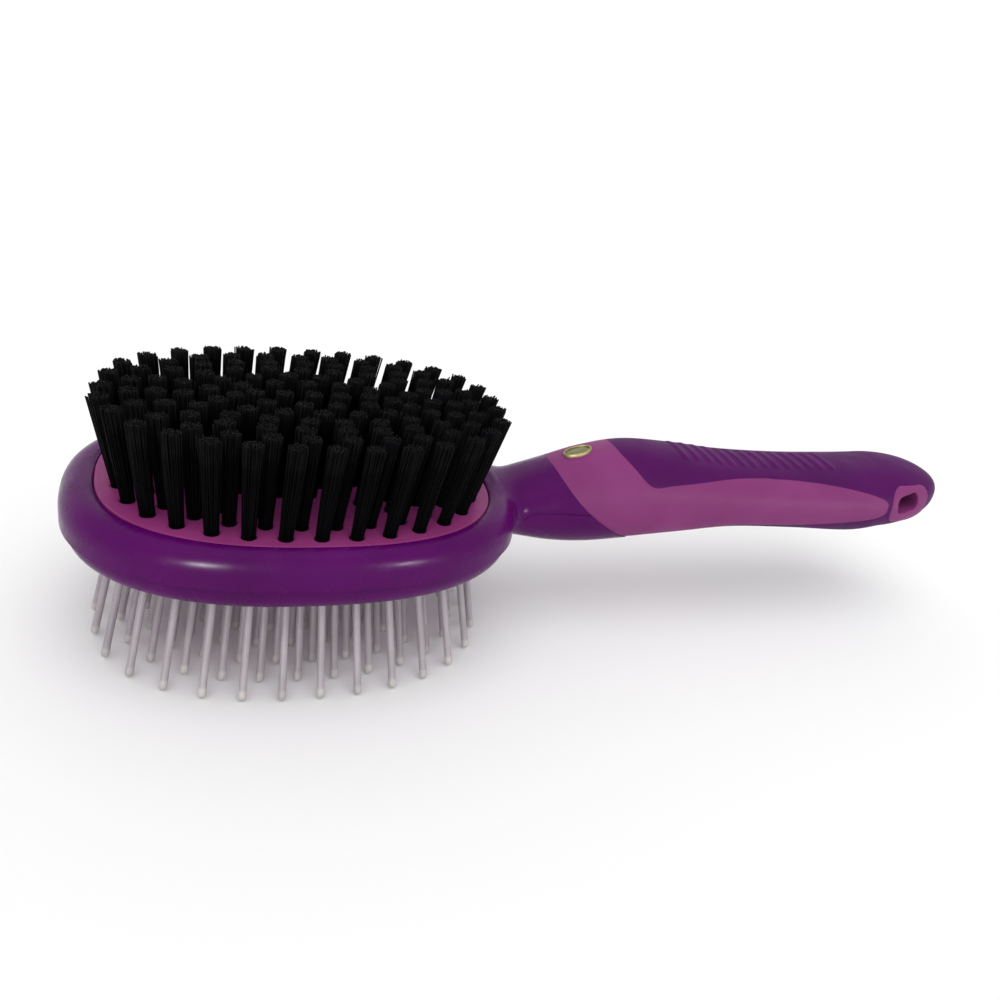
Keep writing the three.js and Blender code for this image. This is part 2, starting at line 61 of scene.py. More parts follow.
HEAD_HALF_LENGTH = 47.3
HEAD_HALF_WIDTH = 34.9
OVAL_EXPONENT = 2.43
RIM_AT_ENDS = 6.5
RIM_AT_SIDES = 4.0
SEAM_Z = -3.0

# How each rim turns over: depth of its outer wall, level where the turn begins and how far it goes on
# from there. The lower rim's levels count downwards, and depths count from 0 at the outer wall of the
# head to 1 at the pad's edge.
UPPER_RIM = {"outer": 0.0, "middle": -0.5, "height": 5.2}
LOWER_RIM = {"outer": 0.13, "middle": 3.4, "height": 4.4}
CREST_DEPTH = 0.8
LIP_DEPTH = 0.2
LIP_DIP = 0.5
# where the shells' walls end and their ledges begin: depths, and levels in the head's frame
UPPER_WALL_DEPTH = 0.5
LOWER_WALL_DEPTH = 0.55
LEDGE_DEPTH = 1.15
LEDGE_Z = 1.1
CAVITY_TOP = 0.3
LIP_Z = -5.6

PLATE_TOP = 4.4
PLATE_BOTTOM = 1.4
TUFT_TIP_Z = 23.1
TUFT_RINGS = {
    "half": (36.3, 27.6), "step": 4.3, "counts": (31, 27, 23, 19, 15, 11),
    "starts": (0.05, 0.55, 0.45, 0.55, 0.05, 0.55), "centre": 5,
}
TUFT_FAN = {"lengthways": 1.1, "sideways": 1.0, "lean": 1.5, "lean_span": 50.0}
TUFT_BASE_RADIUS = 1.3
TUFT_TIP_RADIUS = 2.05
TUFT_HOLE_RADIUS = 1.4

CUSHION_DEPTH = 1.07
CUSHION_EDGE_Z = -7.4
CUSHION_CROWN = 2.8
CUSHION_WALL = 1.7
CUSHION_BACK_Z = -4.5
CUSHION_FACE_Z = -9.0
FLANGE_DEPTH = 0.62
FLANGE_THICKNESS = 0.8
PIN_TIP_Z = -29.5
PIN_RINGS = {
    "half": (37.4, 25.6), "step": 4.7, "counts": (30, 26, 22, 18, 13),
    "starts": (0.25, 0.75, 0.25, 0.75, 0.25), "centre": 5,
}
PIN_FAN = {"lengthways": 1.11, "sideways": 1.28, "lean": 0.0, "lean_span": 50.0}
PIN_RADIUS = 0.78
VENT = {"x": 2.9, "radius": 1.0}
CENTRE_SPACING = 1.25

# station x, half width, top z, bottom z
HANDLE_STATIONS = (
    (44.4, 9.6, 4.0, -7.2),
    (57, 10.1, 8.6, -9.9),
    (67, 11.1, 11.9, -10.4),
    (78, 12.2, 13.6, -9.3),
    (92, 12.8, 12.7, -7.6),
    (106, 12.8, 11.1, -6.1),
    (124, 13.0, 10.4, -6.5),
    (142, 13.4, 10.6, -7.4),
    (151, 13.3, 10.9, -6.2),
)
HANDLE_EXPONENT = 2.3
HANDLE_END = 172.7
NOSE_START = 151.0
NOSE_REACH = HANDLE_END - NOSE_START
NOSE_RISE = 1.8

NECK_JOINT = {"x": 57.8, "z": 8.0, "slope": 0.667, "bend": 0.037}
TANG = ((52.0, 74.0), (-5.2, 5.2), (-4.0, 3.4))
TONGUE = ((140.0, 152.0), (-5.0, 5.0), (1.0, 5.0))
BOSS = {"x": 156.7, "z": 3.3, "half": (6.5, 4.9), "corner": 3.2, "proud": 0.3}
HOLE = {"x": 155.5, "z": 4.0, "half": (3.4, 2.35), "corner": 1.6, "tilt": math.radians(13)}
RIDGES = {"count": 14, "first": 90.5, "pitch": 3.4, "height": 0.36, "half_length": 5.0}
BADGE = {"x": 64.0, "half": (3.5, 2.2), "rim": 0.45}

HEAD_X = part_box("upper_shell")[0].x / MM + HEAD_HALF_LENGTH
HEAD_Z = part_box("bristle_plate")[1].z / MM - PLATE_TOP
HEAD_PLACE = np.array((HEAD_X, 0.0, HEAD_Z))


def to_row(points):
    """Millimetres in the head's frame to metres in the row frame."""
    return (np.asarray(points, float) + HEAD_PLACE) * MM


# ---- curves and fields ------------------------------------------------------------------------

def catmull_rom(points, per_span=24):
    """Points along a uniform Catmull-Rom spline, its end points doubled."""
    p = np.asarray(points, float)
    padded = np.vstack((p[:1], p, p[-1:]))
    t = (np.arange(per_span) / per_span)[:, None]
    spans = []
    for p0, p1, p2, p3 in zip(padded, padded[1:], padded[2:], padded[3:]):
        v0 = (p2 - p0) / 2
        v1 = (p3 - p1) / 2
        spans.append(
            (2 * p1 - 2 * p2 + v0 + v1) * t**3 + (3 * p2 - 3 * p1 - 2 * v0 - v1) * t**2
            + v0 * t + p1
        )
    return np.vstack(spans + [p[-1:]])


def soft_min(a, b, k):
    h = np.clip(0.5 + 0.5 * (b - a) / k, 0, 1)
    return b * (1 - h) + a * h - k * h * (1 - h)


def soft_max(a, b, k):
    return -soft_min(-a, -b, k)


def smooth_step(x, low, high):
    t = np.clip((x - low) / (high - low), 0, 1)
    return t * t * (3 - 2 * t)


def oval_scale(x, y, half_length, half_width):
    n = OVAL_EXPONENT
    return ((np.abs(x) / half_length) ** n + (np.abs(y) / half_width) ** n) ** (1 / n)


def rim_place(x, y):
    """(depth into the rim: 0 at its outer wall and 1 at the pad's edge, rim width there in mm)."""
    x = np.abs(x) + 1e-4
    radius = np.hypot(x, y)
    outer = radius / oval_scale(x, y, HEAD_HALF_LENGTH, HEAD_HALF_WIDTH)
    inner = radius / oval_scale(x, y, HEAD_HALF_LENGTH - RIM_AT_ENDS, HEAD_HALF_WIDTH - RIM_AT_SIDES)
    width = outer - inner
    return (outer - radius) / width, width


def rounded_edge(depth, width, z, crest, outer, middle, height):
    """Distance to a rim whose edge turns over like a superellipse: outer is its outer depth, crest its
    depth at full height, middle the level where the turn begins and height how far it rises."""
    power = 2.15
    inward = np.maximum(crest - depth, 0) + 1e-4
    upward = np.maximum(z - middle, 0) + 1e-3
    scale = ((inward / (crest - outer)) ** power + (upward / height) ** power) ** (1 / power)
    run = np.hypot(inward * width, upward)
    return (scale - 1) * run / scale


def rim_field(rim, depth, width, z):
    """A rim that rises to its crest and dips again towards the pad's edge."""
    dip = LIP_DIP * np.clip((depth - CREST_DEPTH) / LIP_DEPTH, 0, 1.5) ** 2
    return rounded_edge(depth, width, z, CREST_DEPTH, rim["outer"], rim["middle"], rim["height"] - dip)


def upper_rim_field(depth, width, z):
    return rim_field(UPPER_RIM, depth, width, z)


def lower_rim_field(depth, width, z):
    return rim_field(LOWER_RIM, depth, width, -z)


STATION_CURVE = catmull_rom(HANDLE_STATIONS)


def handle_section(x):
    """Half width, middle z and half height of the handle at x, before the nose closes."""
    at = np.clip(x, HANDLE_STATIONS[0][0], NOSE_START)
    stations = STATION_CURVE[:, 0]
    half_width, top, bottom = (np.interp(at, stations, STATION_CURVE[:, k]) for k in (1, 2, 3))
    middle = (top + bottom) / 2 + NOSE_RISE * np.maximum(0, x - NOSE_START) / NOSE_REACH
    return half_width, middle, (top - bottom) / 2


def handle_field(x, y, z):
    half_width, middle, half_height = handle_section(x)
    n = HANDLE_EXPONENT
    across = ((np.abs(y) / half_width) ** n + (np.abs(z - middle) / half_height) ** n) ** (2 / n)
    along = np.maximum(0, x - NOSE_START)
    scale = np.sqrt(across + (along / NOSE_REACH) ** 2) + 1e-6
    run = np.sqrt(y * y + (z - middle) ** 2 + along**2)
    return (scale - 1) * run / scale


def box_field(x, y, z, spans, grow=0.0):
    out = []
    for value, (low, high) in zip((x, y, z), spans):
        out.append(np.abs(value - (low + high) / 2) - (high - low) / 2 - grow)
    return np.maximum(np.maximum(out[0], out[1]), out[2])


def rounded_square_field(x, z, half_x, half_z, corner):
    dx = np.abs(x) - half_x + corner
    dz = np.abs(z) - half_z + corner
    outside = np.hypot(np.maximum(dx, 0), np.maximum(dz, 0))
    return outside + np.minimum(np.maximum(dx, dz), 0) - corner


def seam_level(x):
    """Height of the seam between the shells: low round the head, up the side of the neck."""
    return SEAM_Z * (1 - smooth_step(x, 46.8, 52.3))


def neck_joint_field(x, z):
    """Distance past the joint between the neck and the core, which slants and bends back below."""
    down = NECK_JOINT["z"] - z
    slope = NECK_JOINT["slope"] + 2 * NECK_JOINT["bend"] * down
    joint_x = NECK_JOINT["x"] + NECK_JOINT["slope"] * down + NECK_JOINT["bend"] * down**2
    return (x - joint_x) / np.hypot(1, slope)


# The core's outline in side view, past the neck joint: up its front, over its top edge, round its
# end and back along its lower edge.
CORE_TOP_FRONT = ((71.5, 18), (73.0, 12.9))
CORE_SWEEP = (
    (73.0, 12.9), (75.3, 10.9), (77.9, 8.5), (80.5, 7.4), (86.5, 8.1), (104, 9.1), (130, 8.0), (145.6, 5.7),
    (148.9, 3.1), (145.4, -0.2), (124, -2.6), (106, -3.3), (97, -6.6),
)
CORE_LOW_FRONT = ((95, -12), (95, -16), (40, -16), (40, 18))


OUTLINE_LOW = (55.0, -17.0)
OUTLINE_HIGH = (156, 19)
OUTLINE_STEP = 0.15


def outline_field(outline):
    """Signed distance to a closed outline in side view, negative inside."""
    low = np.array(OUTLINE_LOW)
    step = OUTLINE_STEP
    gx = np.arange(low[0], OUTLINE_HIGH[0], step)
    gz = np.arange(low[1], OUTLINE_HIGH[1], step)
    px, pz = np.meshgrid(gx, gz, indexing="ij")
    distance = np.full(px.shape, 1e9)
    inside = np.zeros(px.shape, bool)
    for (ax, az), (bx, bz) in zip(outline, np.roll(outline, -1, axis=0)):
        ex, ez = bx - ax, bz - az
        t = np.clip(((px - ax) * ex + (pz - az) * ez) / (ex * ex + ez * ez + 1e-12), 0, 1)
        distance = np.minimum(distance, np.hypot(px - ax - t * ex, pz - az - t * ez))
        crosses = ((az > pz) != (bz > pz)) & (px < ex * (pz - az) / (ez if ez else 1e-12) + ax)
        inside ^= crosses
    table = np.where(inside, -distance, distance)

    def lookup(x, z):
        fx = np.clip((x - low[0]) / step, 0, len(gx) - 1.001)
        fz = np.clip((z - low[1]) / step, 0, len(gz) - 1.001)
        i, k = fx.astype(int), fz.astype(int)
        u, v = fx - i, fz - k
        near = table[i, k] * (1 - u) + table[i + 1, k] * u
        far = table[i, k + 1] * (1 - u) + table[i + 1, k + 1] * u
        return near * (1 - v) + far * v

    return lookup


CORE_OUTLINE = np.vstack((CORE_TOP_FRONT[:1], catmull_rom(CORE_SWEEP), CORE_LOW_FRONT))
core_region = outline_field(CORE_OUTLINE)


# ---- meshes -----------------------------------------------------------------------------------

# how many grid steps the grid goes past the limits given for a piece
GRID_MARGIN = 1.5
# how many grid steps from a piece's skin the skin sets its shading
SKIN_REACH = 1.5
# length in mm over which the slope that sets the shading is taken
SHADING_RUN = 0.12
# how many grid steps a point may be from two surfaces and still snap to the edge where they meet
SNAP_REACH = 2
SNAP_ROUNDS = 6


def surface_nets(field, low, high, step):
    """Quads on the zero surface of field(x, y, z), which is negative inside."""
    margin = GRID_MARGIN * step
    axes = [np.arange(a - margin, b + margin + step, step) for a, b in zip(low, high)]
    values = field(*np.meshgrid(*axes, indexing="ij"))
    inside = values < 0
    corners = [(i, j, k) for i in (0, 1) for j in (0, 1) for k in (0, 1)]
    shape = np.array(values.shape) - 1
    held = np.zeros(shape, np.int8)
    for i, j, k in corners:
        held += inside[i:i + shape[0], j:j + shape[1], k:k + shape[2]]
    cells = np.argwhere((held > 0) & (held < 8))
    total = np.zeros((len(cells), 3))
    hits = np.zeros(len(cells))
    for a in corners:
        for axis in range(3):
            if a[axis]:
                continue
            b = list(a)
            b[axis] = 1
            va = values[tuple((cells + a).T)]
            vb = values[tuple((cells + b).T)]
            crossing = (va < 0) != (vb < 0)
            t = np.where(crossing, va / np.where(crossing, va - vb, 1), 0)
            point = cells + np.array(a) + t[:, None] * (np.array(b) - a)
            total += point * crossing[:, None]
            hits += crossing
    vertices = total / hits[:, None] * step + [a[0] for a in axes]
    index = np.full(shape, -1)
    index[tuple(cells.T)] = np.arange(len(cells))
    quads = []
    for axis in range(3):
        b, c = [(axis + 1) % 3, (axis + 2) % 3]
        first = np.take(inside, range(shape[axis]), axis)
        second = np.take(inside, range(1, shape[axis] + 1), axis)
        edges = np.argwhere(first != second)
        sides = edges[:, [b, c]]
        edges = edges[(sides > 0).all(1) & (sides < shape[[b, c]]).all(1)]
        going_out = first[tuple(edges.T)]
        loop = []
        for db, dc in ((1, 1), (0, 1), (0, 0), (1, 0)):
            cell = edges.copy()
            cell[:, b] -= db
            cell[:, c] -= dc
            loop.append(index[tuple(cell.T)])
        quad = np.stack(loop, 1)
        quad[~going_out] = quad[~going_out][:, ::-1]
        quads.append(quad)
    return vertices, np.vstack(quads)


def slope_of(field, points, h=0.02):
    """The field's slope at each point, from differences over a short run either side."""
    x, y, z = points.T
    return np.stack((
        field(x + h, y, z) - field(x - h, y, z),
        field(x, y + h, z) - field(x, y - h, z),
        field(x, y, z + h) - field(x, y, z - h),
    ), 1) / (2 * h)


def settle(points, field, step, rounds=3):
    """Moves points onto the zero surface along the field's slope."""
    for _ in range(rounds):
        value = field(*points.T)
        slope = slope_of(field, points)
        move = slope * (value / np.maximum((slope**2).sum(1), 0.2))[:, None]
        length = np.linalg.norm(move, axis=1)
        move *= np.minimum(1, 0.6 * step / np.maximum(length, 1e-9))[:, None]
        points = points - move
    return points


def mesh_piece(name, vertices, faces, material):
    """A smooth-shaded mesh object from points in the head's frame."""
    mesh = bpy.data.meshes.new(name)
    mesh.from_pydata(to_row(vertices).tolist(), [], [tuple(f) for f in faces])
    mesh.update()
    mesh.polygons.foreach_set("use_smooth", [True] * len(mesh.polygons))
    mesh.materials.append(material)
    piece = bpy.data.objects.new(name, mesh)
    bpy.context.scene.collection.objects.link(piece)
    return piece


def crosses(field, points, low, step):
    """Whether the field changes sign among the corners of the grid cell that holds each point."""
    cell = np.floor((points - low) / step)
    corners = [(i, j, k) for i in (0, 1) for j in (0, 1) for k in (0, 1)]
    values = np.array([field(*((cell + corner) * step + low).T) for corner in corners])
    return (values.min(0) < 0) & (values.max(0) >= 0)


def split_along(quads, marked):
    """Splits each quad that has two marked corners across from each other along the line between them."""
    first = marked[quads[:, 0]] & marked[quads[:, 2]]
    second = marked[quads[:, 1]] & marked[quads[:, 3]]
    split = first ^ second
    turned = np.where(second[:, None], np.roll(quads, -1, axis=1), quads)[split]
    return quads[~split].tolist() + turned[:, [0, 1, 2]].tolist() + turned[:, [0, 2, 3]].tolist()


def field_piece(name, field, low, high, step, material, skin=None, cuts=()):
    """A piece on the zero surface of a field. Where its skin meets one of its cuts it has a crisp edge,
    and its shading follows the skin up to that edge."""
    skin = skin or field
    vertices, quads = surface_nets(field, low, high, step)
    grid_start = np.array(low) - GRID_MARGIN * step
    on_skin = np.abs(skin(*vertices.T)) < SNAP_REACH * step
    creases = []
    for cut in cuts:
        near = np.flatnonzero(on_skin & (np.abs(cut(*vertices.T)) < SNAP_REACH * step))
        points = vertices[near]
        holds = crosses(skin, points, grid_start, step) & crosses(cut, points, grid_start, step)
        creases.append(near[holds])
    vertices = settle(vertices, field, step)
    on_crease = np.zeros(len(vertices), bool)
    for cut, crease in zip(cuts, creases):
        edge = vertices[crease]
        for _ in range(SNAP_ROUNDS):
            edge = settle(settle(edge, skin, step, 1), cut, step, 1)
        vertices[crease] = edge
        on_crease[crease] = True
    piece = mesh_piece(name, vertices, split_along(quads, on_crease), material)
    slope = slope_of(field, vertices, SHADING_RUN)
    near_skin = np.abs(skin(*vertices.T)) < SKIN_REACH * step
    slope[near_skin] = slope_of(skin, vertices[near_skin], SHADING_RUN)
    slope /= np.maximum(np.linalg.norm(slope, axis=1, keepdims=True), 1e-9)
    piece.data.normals_split_custom_set_from_vertices(slope.tolist())
    return piece


def hand_in(piece, body, slot, *nodes):
    """Lets a piece ride on its body in place of CAD nodes."""
    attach(piece, body)
    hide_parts(*nodes)
    return piece


# ---- materials --------------------------------------------------------------------------------

def srgb(red, green, blue):
    """A colour given as it looks on a screen, 0 to 255, as linear light."""
    def linear(value):
        value = value / 255
        return value / 12.92 if value <= 0.04045 else ((value + 0.055) / 1.055) ** 2.4
    return linear(red), linear(green), linear(blue), 1.0


class Finish:
    """A material with a principled shader, and short ways to add texture to it."""

    def __init__(self, name, roughness, **sockets):
        self.material = bpy.data.materials.new(name)
        self.material.use_nodes = True
        self.tree = self.material.node_tree
        self.shader = self.tree.nodes["Principled BSDF"]
        self.shader.inputs["Roughness"].default_value = roughness
        for socket, value in sockets.items():
            self.shader.inputs[socket.replace("_", " ")].default_value = value
        self.place = self.add("ShaderNodeTexCoord").outputs["Object"]

    def add(self, kind, **settings):
        node = self.tree.nodes.new(kind)
        for name, value in settings.items():
            setattr(node, name, value)
        return node

    def join(self, output, socket):
        self.tree.links.new(output, socket)

    def noise(self, scale, detail=3.0, stretch=None):
        """Noise of a scale in features per metre, stretched by a factor for each axis."""
        texture = self.add("ShaderNodeTexNoise")
        texture.inputs["Scale"].default_value = scale
        texture.inputs["Detail"].default_value = detail
        source = self.place
        if stretch:
            mapping = self.add("ShaderNodeMapping")
            mapping.inputs["Scale"].default_value = stretch
            self.join(self.place, mapping.inputs["Vector"])
            source = mapping.outputs["Vector"]
        self.join(source, texture.inputs["Vector"])
        return texture.outputs["Fac"]

    def spread(self, value, low, high, from_low=0.3, from_high=0.7):
        """Maps a 0 to 1 value to a range."""
        remap = self.add("ShaderNodeMapRange")
        remap.inputs["From Min"].default_value = from_low
        remap.inputs["From Max"].default_value = from_high
        remap.inputs["To Min"].default_value = low
        remap.inputs["To Max"].default_value = high
        self.join(value, remap.inputs["Value"])
        return remap.outputs["Result"]

    def colour_between(self, value, first, second, socket="Base Color"):
        mix = self.add("ShaderNodeMix", data_type="RGBA")
        mix.inputs["A"].default_value = first
        mix.inputs["B"].default_value = second
        self.join(value, mix.inputs["Factor"])
        self.join(mix.outputs["Result"], self.shader.inputs[socket])
        return mix

    def vary_roughness(self, value, low, high):
        self.join(self.spread(value, low, high), self.shader.inputs["Roughness"])

    def bump(self, value, depth, under=None):
        """Bump of a depth in metres, on top of another one."""
        bump = self.add("ShaderNodeBump")
        bump.inputs["Distance"].default_value = depth
        self.join(value, bump.inputs["Height"])
        if under:
            self.join(under, bump.inputs["Normal"])
        self.join(bump.outputs["Normal"], self.shader.inputs["Normal"])
        return bump.outputs["Normal"]


def moulded(name, first, second, roughness, grain_depth, **sockets):
    """Moulded plastic: slow drifts of colour, uneven gloss, a fine skin and faint handling marks."""
    finish = Finish(name, sum(roughness) / 2, **sockets)
    drift = finish.noise(70, 4.0)
    finish.colour_between(finish.spread(drift, 0, 1), first, second)
    finish.vary_roughness(finish.noise(220, 5.0), *roughness)
    skin = finish.bump(finish.noise(2600, 2.0), grain_depth)
    finish.bump(finish.noise(500, 2.0, (1.0, 6.0, 6.0)), grain_depth, skin)
    return finish.material


def glossy_purple():
    colours = (srgb(73, 3, 79), srgb(84, 5, 90))
    return moulded("gloss_purple", *colours, (0.2, 0.3), 0.000002, Specular_IOR_Level=0.1)


def grip_purple():
    colours = (srgb(70, 4, 76), srgb(81, 7, 87))
    return moulded("grip_purple", *colours, (0.5, 0.62), 0.000008, Specular_IOR_Level=0.1)


def pink_plastic():
    colours = (srgb(122, 50, 104), srgb(133, 57, 115))
    return moulded("pink_plastic", *colours, (0.46, 0.56), 0.000004, Specular_IOR_Level=0.1)


def pad_pink():
    colours = (srgb(134, 48, 108), srgb(146, 56, 118))
    return moulded("pad_pink", *colours, (0.4, 0.52), 0.000006, Specular_IOR_Level=0.15)


def cushion_rubber():
    finish = Finish("cushion_rubber", 0.7, Sheen_Weight=0.15)
    mottle = finish.spread(finish.noise(120, 5.0), 0, 1)
    finish.colour_between(mottle, srgb(146, 72, 128), srgb(164, 90, 146))
    finish.vary_roughness(finish.noise(400, 4.0), 0.58, 0.78)
    grain = finish.bump(finish.noise(3600, 3.0), 0.00003)
    finish.bump(finish.noise(240, 4.0), 0.00004, grain)
    return finish.material


def black_nylon():
    """Black filament, its cut ends painted lighter through an attribute: a painted highlight for the glints
    at the tips.
    """
    finish = Finish("black_nylon", 0.5, Specular_IOR_Level=0.03)
    cut = finish.add("ShaderNodeAttribute", attribute_name="cut_end_highlight")
    # painted highlight: the cut ends take the lighter colour
    finish.colour_between(cut.outputs["Fac"], srgb(5, 5, 7), srgb(18, 18, 20))
    finish.vary_roughness(finish.noise(900, 3.0), 0.42, 0.58)
    finish.bump(finish.noise(2200, 2.0, (8.0, 8.0, 1.0)), 0.00001)
    return finish.material


def pin_plastic():
    """Milky plastic that light passes through, paler at the rounded tips."""
    finish = Finish("pin_plastic", 0.44, Transmission_Weight=0.25, IOR=1.49, Specular_IOR_Level=0.2)
    tip = finish.add("ShaderNodeAttribute", attribute_name="tip")
    mix = finish.colour_between(tip.outputs["Fac"], srgb(190, 182, 188), srgb(218, 214, 210))
    cloudy = finish.add("ShaderNodeMix", data_type="RGBA")
    cloudy.inputs["A"].default_value = srgb(164, 156, 162)
    clouds = finish.spread(finish.noise(260, 4.0, (1.0, 1.0, 0.3)), 0, 1, 0.2, 0.6)
    finish.join(clouds, cloudy.inputs["Factor"])
    finish.join(mix.outputs["Result"], cloudy.inputs["B"])
    finish.join(cloudy.outputs["Result"], finish.shader.inputs["Base Color"])
    finish.vary_roughness(finish.noise(700, 3.0), 0.38, 0.5)
    finish.bump(finish.noise(1500, 2.0), 0.000006)
    return finish.material


def badge_gold():
    finish = Finish("badge_gold", 0.5, Metallic=0.6)
    tarnish = finish.spread(finish.noise(900, 4.0), 0, 1)
    finish.colour_between(tarnish, srgb(150, 140, 96), srgb(178, 168, 126))
    finish.vary_roughness(finish.noise(1800, 4.0), 0.42, 0.6)
    finish.bump(finish.noise(4000, 3.0, (1.0, 5.0, 5.0)), 0.00001)
    return finish.material


def badge_olive():
    finish = Finish("badge_olive", 0.35, Coat_Weight=0.5)
    mottle = finish.spread(finish.noise(1500, 5.0), 0, 1)
    finish.colour_between(mottle, srgb(84, 86, 34), srgb(112, 110, 52))
    finish.vary_roughness(finish.noise(1200, 3.0), 0.26, 0.44)
    finish.bump(finish.noise(2400, 4.0), 0.00002)
    return finish.material


GLOSS_PURPLE = glossy_purple()
GRIP_PURPLE = grip_purple()
PINK_PLASTIC = pink_plastic()
PAD_PINK = pad_pink()
CUSHION_RUBBER = cushion_rubber()
BLACK_NYLON = black_nylon()
PIN_PLASTIC = pin_plastic()
BADGE_GOLD = badge_gold()
BADGE_OLIVE = badge_olive()


# ---- shells, core and grip --------------------------------------------------------------------

SHELL_STEP = 0.38
GRIP_STEP = 0.4
EDGE = 0.35
NECK_BLEND = 4.0
NECK_START = 44.4
LOWER_NECK_PROUD = 0.2


def neck_field(x, y, z, proud):
    neck = soft_max(handle_field(x, y, z) - proud, NECK_START - x, 0.5)
    return np.maximum(neck, -box_field(x, y, z, TANG, 0.3))


def shell_joint(x, y, z):
    return neck_joint_field(x, z)


def above_seam(x, y, z):
    return z - seam_level(x)


def below_seam(x, y, z):
    return seam_level(x) - z


def upper_skin(x, y, z):
    """The upper shell before the seam and the joint with the core cut it."""
    depth, width = rim_place(x, y)
    body = soft_min(upper_rim_field(depth, width, z), neck_field(x, y, z, 0.0), NECK_BLEND)
    well = np.maximum((1 - depth) * width, LEDGE_Z - z)
    cavity = np.maximum((UPPER_WALL_DEPTH - depth) * width, z - CAVITY_TOP)
    body = soft_max(body, -well, EDGE)
    body = np.maximum(body, -cavity)
    return np.maximum(body, (depth - LEDGE_DEPTH) * width)


def upper_shell_field(x, y, z):
    return np.maximum(np.maximum(upper_skin(x, y, z), below_seam(x, y, z)), shell_joint(x, y, z))


def lower_skin(x, y, z):
    """The lower shell before the seam and the joint with the core cut it."""
    depth, width = rim_place(x, y)
    body = soft_min(lower_rim_field(depth, width, z), neck_field(x, y, z, LOWER_NECK_PROUD), NECK_BLEND)
    cavity = np.maximum((LOWER_WALL_DEPTH - depth) * width, LIP_Z - z)
    body = np.maximum(body, -cavity)
    return soft_max(body, (depth - 1) * width, EDGE)


def lower_shell_field(x, y, z):
    return np.maximum(np.maximum(lower_skin(x, y, z), above_seam(x, y, z)), shell_joint(x, y, z))


def boss_field(x, z):
    return rounded_square_field(x - BOSS["x"], z - BOSS["z"], *BOSS["half"], BOSS["corner"])


def hole_field(x, z):
    """Distance to the hanging hole's outline, which is tilted up towards the handle's end."""
    dx, dz = x - HOLE["x"], z - HOLE["z"]
    along = dx * math.cos(HOLE["tilt"]) + dz * math.sin(HOLE["tilt"])
    across = dz * math.cos(HOLE["tilt"]) - dx * math.sin(HOLE["tilt"])
    return rounded_square_field(along, across, *HOLE["half"], HOLE["corner"])


def past_joint(x, y, z):
    return -neck_joint_field(x, z)


def core_edge(x, y, z):
    return core_region(x, z)


def grip_edge(x, y, z):
    return -core_region(x, z)


def boss_edge(x, y, z):
    return -boss_field(x, z)


def boss_ring(handle, x, z):
    return soft_max(handle - BOSS["proud"], boss_field(x, z), EDGE)


def core_skin(x, y, z):
    """The handle's surface and the ring of the hanging hole, before the core's outline cuts them."""
    handle = handle_field(x, y, z)
    return soft_max(np.minimum(handle, boss_ring(handle, x, z)), -hole_field(x, z), 0.4)


def core_field(x, y, z):
    handle = handle_field(x, y, z)
    body = np.maximum(np.maximum(handle, core_region(x, z)), past_joint(x, y, z))
    body = np.minimum(body, boss_ring(handle, x, z))
    body = np.minimum(body, box_field(x, y, z, TANG))
    body = np.minimum(body, box_field(x, y, z, TONGUE))
    return soft_max(body, -hole_field(x, z), 0.4)


def ridge_height(x, y):
    """How far the ridges stand up from the top of the grip."""
    nearest = np.clip(np.round((x - RIDGES["first"]) / RIDGES["pitch"]), 0, RIDGES["count"] - 1)
    offset = np.abs(x - RIDGES["first"] - nearest * RIDGES["pitch"])
    along = 1 - smooth_step(offset, 0.2, 1.25)
    across = 1 - smooth_step(np.abs(y), RIDGES["half_length"] - 1, RIDGES["half_length"] + 1)
    return RIDGES["height"] * along * across


def grip_skin(x, y, z):
    middle = handle_section(x)[1]
    return handle_field(x, y, z) - ridge_height(x, y) * smooth_step(z - middle, 0, 5)


def grip_field(x, y, z):
    body = np.maximum(grip_skin(x, y, z), np.maximum(grip_edge(x, y, z), boss_edge(x, y, z)))
    body = np.maximum(body, 2 - neck_joint_field(x, z))
    return np.maximum(body, -box_field(x, y, z, TONGUE, 0.3))


def make_shells():
    length, width = HEAD_HALF_LENGTH, HEAD_HALF_WIDTH
    upper = field_piece("head_shell_upper", upper_shell_field, (-length, -width, -3.2), (69, width, 12.5),
                        SHELL_STEP, GLOSS_PURPLE, upper_skin, (below_seam, shell_joint))
    hand_in(upper, "brush_body", "gloss_purple", "upper_shell")
    lower = field_piece("head_shell_lower", lower_shell_field, (-length, -width, -11.0), (86, width, 0.2),
                        SHELL_STEP, GLOSS_PURPLE, lower_skin, (above_seam, shell_joint))
    hand_in(lower, "brush_body", "gloss_purple", "lower_shell")


def make_handle():
    core = field_piece("core_with_eyelet", core_field, (51.5, -14, -11.2), (164.5, 14, 14.6),
                       GRIP_STEP, PINK_PLASTIC, core_skin, (core_edge, past_joint))
    hand_in(core, "brush_body", "pink_plastic", "handle_core")
    grip = field_piece("grip_sleeve_ridged", grip_field, (69, -14, -10.5), (HANDLE_END, 14, 15),
                       GRIP_STEP, GRIP_PURPLE, grip_skin, (grip_edge, boss_edge))
    hand_in(grip, "brush_body", "grip_purple", "grip_sleeve")


# ---- rings of tufts and pins ------------------------------------------------------------------

def points_round_oval(half_length, half_width, count, shift):
    """Evenly spaced points round an oval by length along it, starting in the middle of one side."""
    angle = -math.pi / 2 + np.linspace(0, 2 * math.pi, 1441)
    power = 2 / OVAL_EXPONENT
    x = half_length * np.sign(np.cos(angle)) * np.abs(np.cos(angle)) ** power
    y = half_width * np.sign(np.sin(angle)) * np.abs(np.sin(angle)) ** power
    along = np.concatenate(([0], np.cumsum(np.hypot(np.diff(x), np.diff(y)))))
    wanted = (np.arange(count) + shift) / count * along[-1]
    return np.stack((np.interp(wanted, along, x), np.interp(wanted, along, y)), 1)


